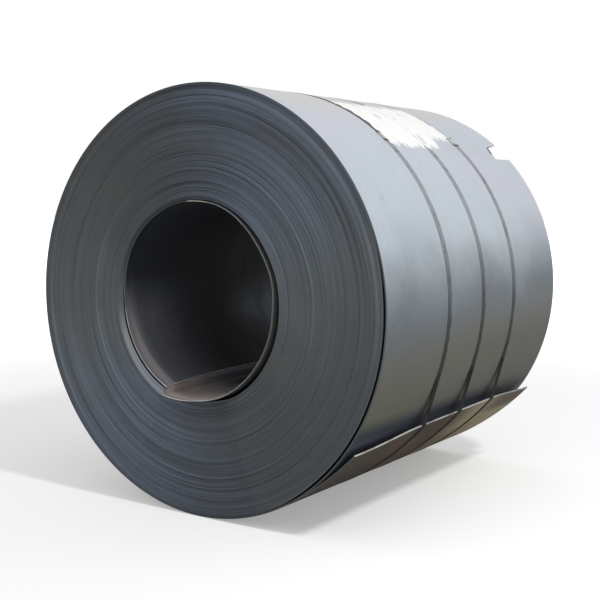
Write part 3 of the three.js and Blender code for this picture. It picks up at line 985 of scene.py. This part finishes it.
def bore_skin():
    """Inside of the strip: dark scale, painted lighter low down near its ends, palest in a painted pool of
    light at the lip.
    """
    s = Shading("bore_skin")
    streak, cloud, depth = inside_parts(s)
    # Painted light: the lower side is painted lighter near the mouth, fading deeper in.
    deep_share = s.ramp(s.total(depth, s.swing(cloud, MOUTH_WANDER)), *MOUTH_DEPTHS)
    mouth_light = s.times(s.math("SUBTRACT", 1, deep_share), s.where(z=(0.12, -0.12)))
    colour = s.blend(mouth_light, BORE_DARK, BORE_MOUTH_LIT)
    colour = s.blend(painted_bore_reflection(s, cloud), colour, BORE_PAINTED_LIGHT)
    # A painted pool of light at the lip, with patches of rust in it.
    lit_lip = s.blend(s.ramp(s.noise(6, detail=3), *SOME_PATCHES), BORE_LIT_LIP, LIP_RUST)
    colour = rust_film(s, s.blend(painted_lit_lip(s, depth), colour, lit_lip), depth, cloud)
    streaks = s.ramp(streak, *WIDE_NOISE_RANGE, low=0.9, high=1.1)
    tone = s.times(streaks, s.ramp(depth, *RIM_DEPTHS, low=0.58))
    s.surface(base_color=s.scale(colour, tone), specular_ior_level=DULL_SPECULAR)
    s.surface(roughness=s.spread(streak, 0.62, 0.72))
    s.bump(streak, distance=0.4 * MM, strength=0.4)
    return s.material


def lap_skin():
    """The faces between laps: dark scale, painted lighter at the mouth and filmed with rust behind the head.
    """
    s = Shading("lap_skin")
    streak, cloud, depth = inside_parts(s)
    dark = s.scale(BORE_DARK, s.ramp(streak, *WIDE_NOISE_RANGE, low=0.5, high=0.7))
    open_side = s.times(s.ramp(s.x, -0.25, 0, high=0.8), s.where(radius=(0.7, 0.5)))
    dark = s.blend(s.times(s.ramp(depth, *BETWEEN_DEPTHS), open_side), dark, BETWEEN_MOUTH_LIT)
    colour = s.blend(s.where(angle=(HEAD_END + 10, HEAD_END + 5)), dark, rust_film(s, dark, depth, cloud))
    s.surface(base_color=colour, specular_ior_level=DULL_SPECULAR)
    s.surface(roughness=s.spread(streak, 0.65, 0.75))
    s.bump(streak, distance=0.4 * MM, strength=0.4)
    return s.material


SHEARED_STEEL = srgb(206, 208, 208)
SHEARED_RUST = srgb(150, 138, 124)
BETWEEN_ENDS = (0.45, 0.6)  # radii: the head end lies inside them, and the tail's end outside
HEAD_CORNER_Y = (20 * MM - HALF_WIDTH, 90 * MM - HALF_WIDTH)  # the head end is darker at its near corner
WORN_ROUGHNESS = 0.5


def sheared_end():
    """The cut ends of the strip: bright steel, rusted in places; the head's end painted lighter as painted
    light, the tail's duller.
    """
    s = Shading("sheared_end")
    grain = s.stretched(300, 60, 300)
    colour = s.blend(s.ramp(s.noise(9, detail=3), *FEW_PATCHES), SHEARED_STEEL, SHEARED_RUST)
    # Painted light: the head's end inside the bore is painted lighter, and the tail's end darker.
    head_lit_tail_dull = s.ramp(s.radius, *BETWEEN_ENDS, low=1.6, high=0.74)
    corner = s.math("MAXIMUM", s.ramp(s.y, *HEAD_CORNER_Y, low=0.5), s.where(radius=BETWEEN_ENDS))
    far_part = s.ramp(s.y, 0.25, 0.45, low=1, high=0.65)
    tone = s.times(s.spread(grain, 0.92, 1.05), head_lit_tail_dull, far_part, corner)
    s.surface(base_color=s.scale(colour, tone), metallic=WORN_METALLIC, roughness=WORN_ROUGHNESS)
    s.bump(grain, distance=0.3 * MM, strength=0.4)
    return s.material


RUBBED_STEEL = srgb(216, 212, 208)
RUBBED_HIGHLIGHT = srgb(245, 240, 222)
RUBBED_ARC = (-118, 97, 2)  # where the edge of the slack lap stands free
HEAD_RUBBED_ARC = (-174, -118, 2)  # and where it is rubbed less, up to the head end


def rubbed_edge():
    """Edge of the slack first lap: rubbed bare where it stands free of the coil, with a painted highlight
    near the top.
    """
    s = Shading("rubbed_edge")
    grain = s.ringed(across=300, along=20)
    wear = s.ramp(s.noise(14, detail=3), *EVEN_PATCHES, low=0.6)
    free = s.total(s.where(angle=RUBBED_ARC), s.within(s.angle, *HEAD_RUBBED_ARC, top=0.5))
    colour = s.blend(s.times(free, wear), EDGE_GREY, RUBBED_STEEL)
    # A painted highlight on the slack lap's edge near the top.
    colour = s.blend(s.where(angle=(82, 96, 1)), colour, RUBBED_HIGHLIGHT)
    tone = s.spread(grain, 0.92, 1.05)
    s.surface(base_color=s.scale(colour, tone), metallic=WORN_METALLIC, roughness=WORN_ROUGHNESS)
    s.bump(grain, distance=0.3 * MM, strength=0.4)
    return s.material


STRAP_RUST = srgb(70, 62, 52)
STRAP_DARK = srgb(26, 22, 19)
STRAP_OLIVE = srgb(150, 150, 128)
STRAP_SPECULAR = 0.1
STRAP_SHADE_SLOPES = (3, -20)
STRAP_SPOTS = (0.5, 0.66)
STRAP_BARE = (9 * MM, 17 * MM, 3 * MM)  # from a strap's middle to the edge where its paint has rubbed off
STRAP_BARE_SHARE = 0.5
NEAR_STRAP_Y = (-0.2, -0.1)
FAR_STRAP_Y = (0.1, 0.2)
OFF_COIL_ROUGHNESS = 0.22  # added where a strap is off the coil
SEAL_ANGLE = 50  # the seals sit there around the coil


def bare_strapping(s, spots):
    """Where the paint has rubbed off along one edge of each strap."""
    start, end, border = STRAP_BARE
    edges = s.total(*[s.within(s.y, y + start, y + end, border) for y in STRAP_Y])
    patches = s.ramp(spots, *BROAD_PATCHES)
    return s.times(edges, patches, s.where(slope=(-12, 44, 8)), STRAP_BARE_SHARE)


def strapping():
    """Waxed steel strapping, coloured like the scale beside it with its painted light and shade, darker
    lower down as painted shade, spotted, and rusted over the near seal.
    """
    s = Shading("strapping")
    worn = s.stretched(6, 60, 6, detail=4)
    spots = s.noise(28, detail=3, roughness=0.6)
    # Painted shade: the straps are darker lower down the coil, as the scale beside them is.
    low = s.ramp(s.slope, *STRAP_SHADE_SLOPES, low=0.58, high=0.22)
    tone = s.total(low, s.swing(worn, 0.06), s.ramp(spots, *STRAP_SPOTS, high=-0.16))
    scale = scale_colour(s)
    off_coil = brown_share(s)
    # On the tail the straps are painted near black: dark rust together with painted shade.
    on_tail = s.times(off_coil, s.where(slope=(-33, -35.5)))
    colour = s.scale(s.blend(off_coil, scale, SCALE_LOW), tone)
    colour = s.blend(on_tail, colour, STRAP_DARK)
    colour = s.blend(bare_strapping(s, spots), colour, STRAP_OLIVE)
    high = s.where(slope=(SEAL_ANGLE - 2, SEAL_ANGLE + 2))
    colour = s.blend(s.times(high, s.ramp(s.y, *NEAR_STRAP_Y, low=0.8, high=0)), colour, STRAP_RUST)
    colour = s.blend(s.times(high, s.ramp(s.y, *FAR_STRAP_Y, high=0.8)), colour, scale)
    s.surface(base_color=s.blend(paint_patch(s), colour, PAINT), specular_ior_level=STRAP_SPECULAR)
    s.surface(metallic=s.ramp(off_coil, 0, 1, low=0.2, high=0))
    s.surface(roughness=s.total(s.spread(worn, 0.6, 0.75), s.times(off_coil, OFF_COIL_ROUGHNESS)))
    s.bump(worn, distance=0.2 * MM, strength=0.4)
    return s.material


SEAL_DARK = srgb(62, 60, 54)
SEAL_DULL = srgb(150, 150, 146)
SEAL_BRIGHT = srgb(196, 196, 190)
SEAL_MIDDLE = (SEAL_ANGLE - 1.2, SEAL_ANGLE + 1.2, 0.4)  # its bright middle


def seal_steel():
    """Bare crimped steel, scratched, dark at its ends, and painted over inside the patch."""
    s = Shading("seal_steel")
    scratch = s.stretched(20, 300, 20)
    bare = s.blend(s.ramp(scratch, *EVEN_PATCHES), SEAL_DULL, SEAL_BRIGHT)
    colour = s.blend(s.where(angle=SEAL_MIDDLE), SEAL_DARK, bare)
    patch = paint_patch(s)
    s.surface(base_color=s.blend(patch, colour, PAINT), metallic=s.ramp(patch, 0, 1, low=0.4, high=0))
    s.surface(roughness=s.spread(scratch, 0.36, 0.46))
    s.bump(scratch, distance=0.2 * MM, strength=0.4)
    return s.material


# ---------- stage ----------

CAMERA_PLACE = (2.5778, -3.8441, 1.2288)
CAMERA_YAW = 34.287
CAMERA_PITCH = -5.635
CAMERA_LENS = 64.35  # millimetres
CAMERA_CLIP = 200


def set_camera():
    data = bpy.data.cameras.new("camera")
    data.lens = CAMERA_LENS
    data.clip_end = CAMERA_CLIP
    camera = bpy.data.objects.new("camera", data)
    camera.location = CAMERA_PLACE
    camera.rotation_euler = (math.radians(90 + CAMERA_PITCH), 0, math.radians(CAMERA_YAW))
    bpy.context.scene.collection.objects.link(camera)
    bpy.context.scene.camera = camera


def background_ray(tree):
    """1 for the rays that see the background: the camera's, and those off gloss or through glass."""
    rays = tree.nodes.new("ShaderNodeLightPath")
    seen = rays.outputs["Is Camera Ray"]
    for name in ("Is Glossy Ray", "Is Transmission Ray"):
        either = tree.nodes.new("ShaderNodeMath")
        either.operation = "MAXIMUM"
        tree.links.new(seen, either.inputs[0])
        tree.links.new(rays.outputs[name], either.inputs[1])
        seen = either.outputs[0]
    return seen


FLOOR_REACH = 40
FLOOR_PALE = 0.8
FLOOR_GLOW = (0.32, 1.0)  # lifts the floor to white near the coil, and more where the lamp no longer reaches
FLOOR_GLOW_REACH = (2.0, 9.0)


def set_floor():
    corners = [(x * FLOOR_REACH, y * FLOOR_REACH, 0) for x, y in ((-1, -1), (1, -1), (1, 1), (-1, 1))]
    mesh = bpy.data.meshes.new("floor")
    mesh.from_pydata(corners, [], [(0, 1, 2, 3)])
    s = Shading("floor")
    glow = s.ramp(s.length(s.x, s.y), *FLOOR_GLOW_REACH, *FLOOR_GLOW)
    s.surface(base_color=(FLOOR_PALE, FLOOR_PALE, FLOOR_PALE, 1), roughness=0.9, specular_ior_level=0.0)
    s.surface(emission_strength=s.times(glow, background_ray(s.tree)))
    new_object(mesh, [s.material])


WORLD_LIGHT = 0.6


def set_world():
    """Soft even light, and plain white where the camera and the reflections see past the floor."""
    world = bpy.data.worlds.new("studio")
    bpy.context.scene.world = world
    world.use_nodes = True
    tree = world.node_tree
    background = tree.nodes["Background"]
    strength = tree.nodes.new("ShaderNodeMapRange")
    strength.inputs["To Min"].default_value = WORLD_LIGHT
    tree.links.new(background_ray(tree), strength.inputs["Value"])
    tree.links.new(strength.outputs[0], background.inputs["Strength"])
    background.inputs["Color"].default_value = (1, 1, 1, 1)


LAMP_PLACE = (4.2, -1.17, 5.0)
LAMP_SIZE = 0.6
LAMP_POWER = 165  # watts


def set_lamp():
    """One soft lamp, high on the side of the tail and a little to the front."""
    data = bpy.data.lights.new("softbox", "AREA")
    data.size = LAMP_SIZE
    data.energy = LAMP_POWER
    lamp = bpy.data.objects.new("softbox", data)
    lamp.location = LAMP_PLACE
    down = AXIS_HEIGHT - LAMP_PLACE[2]
    pitch = math.atan2(down, math.hypot(LAMP_PLACE[0], LAMP_PLACE[1]))
    yaw = math.atan2(LAMP_PLACE[0], -LAMP_PLACE[1])
    lamp.rotation_euler = (math.radians(90) + pitch, 0, yaw)
    bpy.context.scene.collection.objects.link(lamp)


# ---------- the scene ----------

wound_strip([lap_edges(), mill_scale(), bore_skin(), lap_skin(), sheared_end(), rubbed_edge()])
strap_material = strapping()
seal_material = seal_steel()
for number, strap_y in enumerate(STRAP_Y, start=1):
    strap(number, strap_y, strap_material)
    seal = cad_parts[f"strap_seal_{number}"]
    for slot in seal.material_slots:
        slot.material = seal_material

set_camera()
set_floor()
set_world()
set_lamp()
bpy.context.scene.view_settings.view_transform = "Standard"
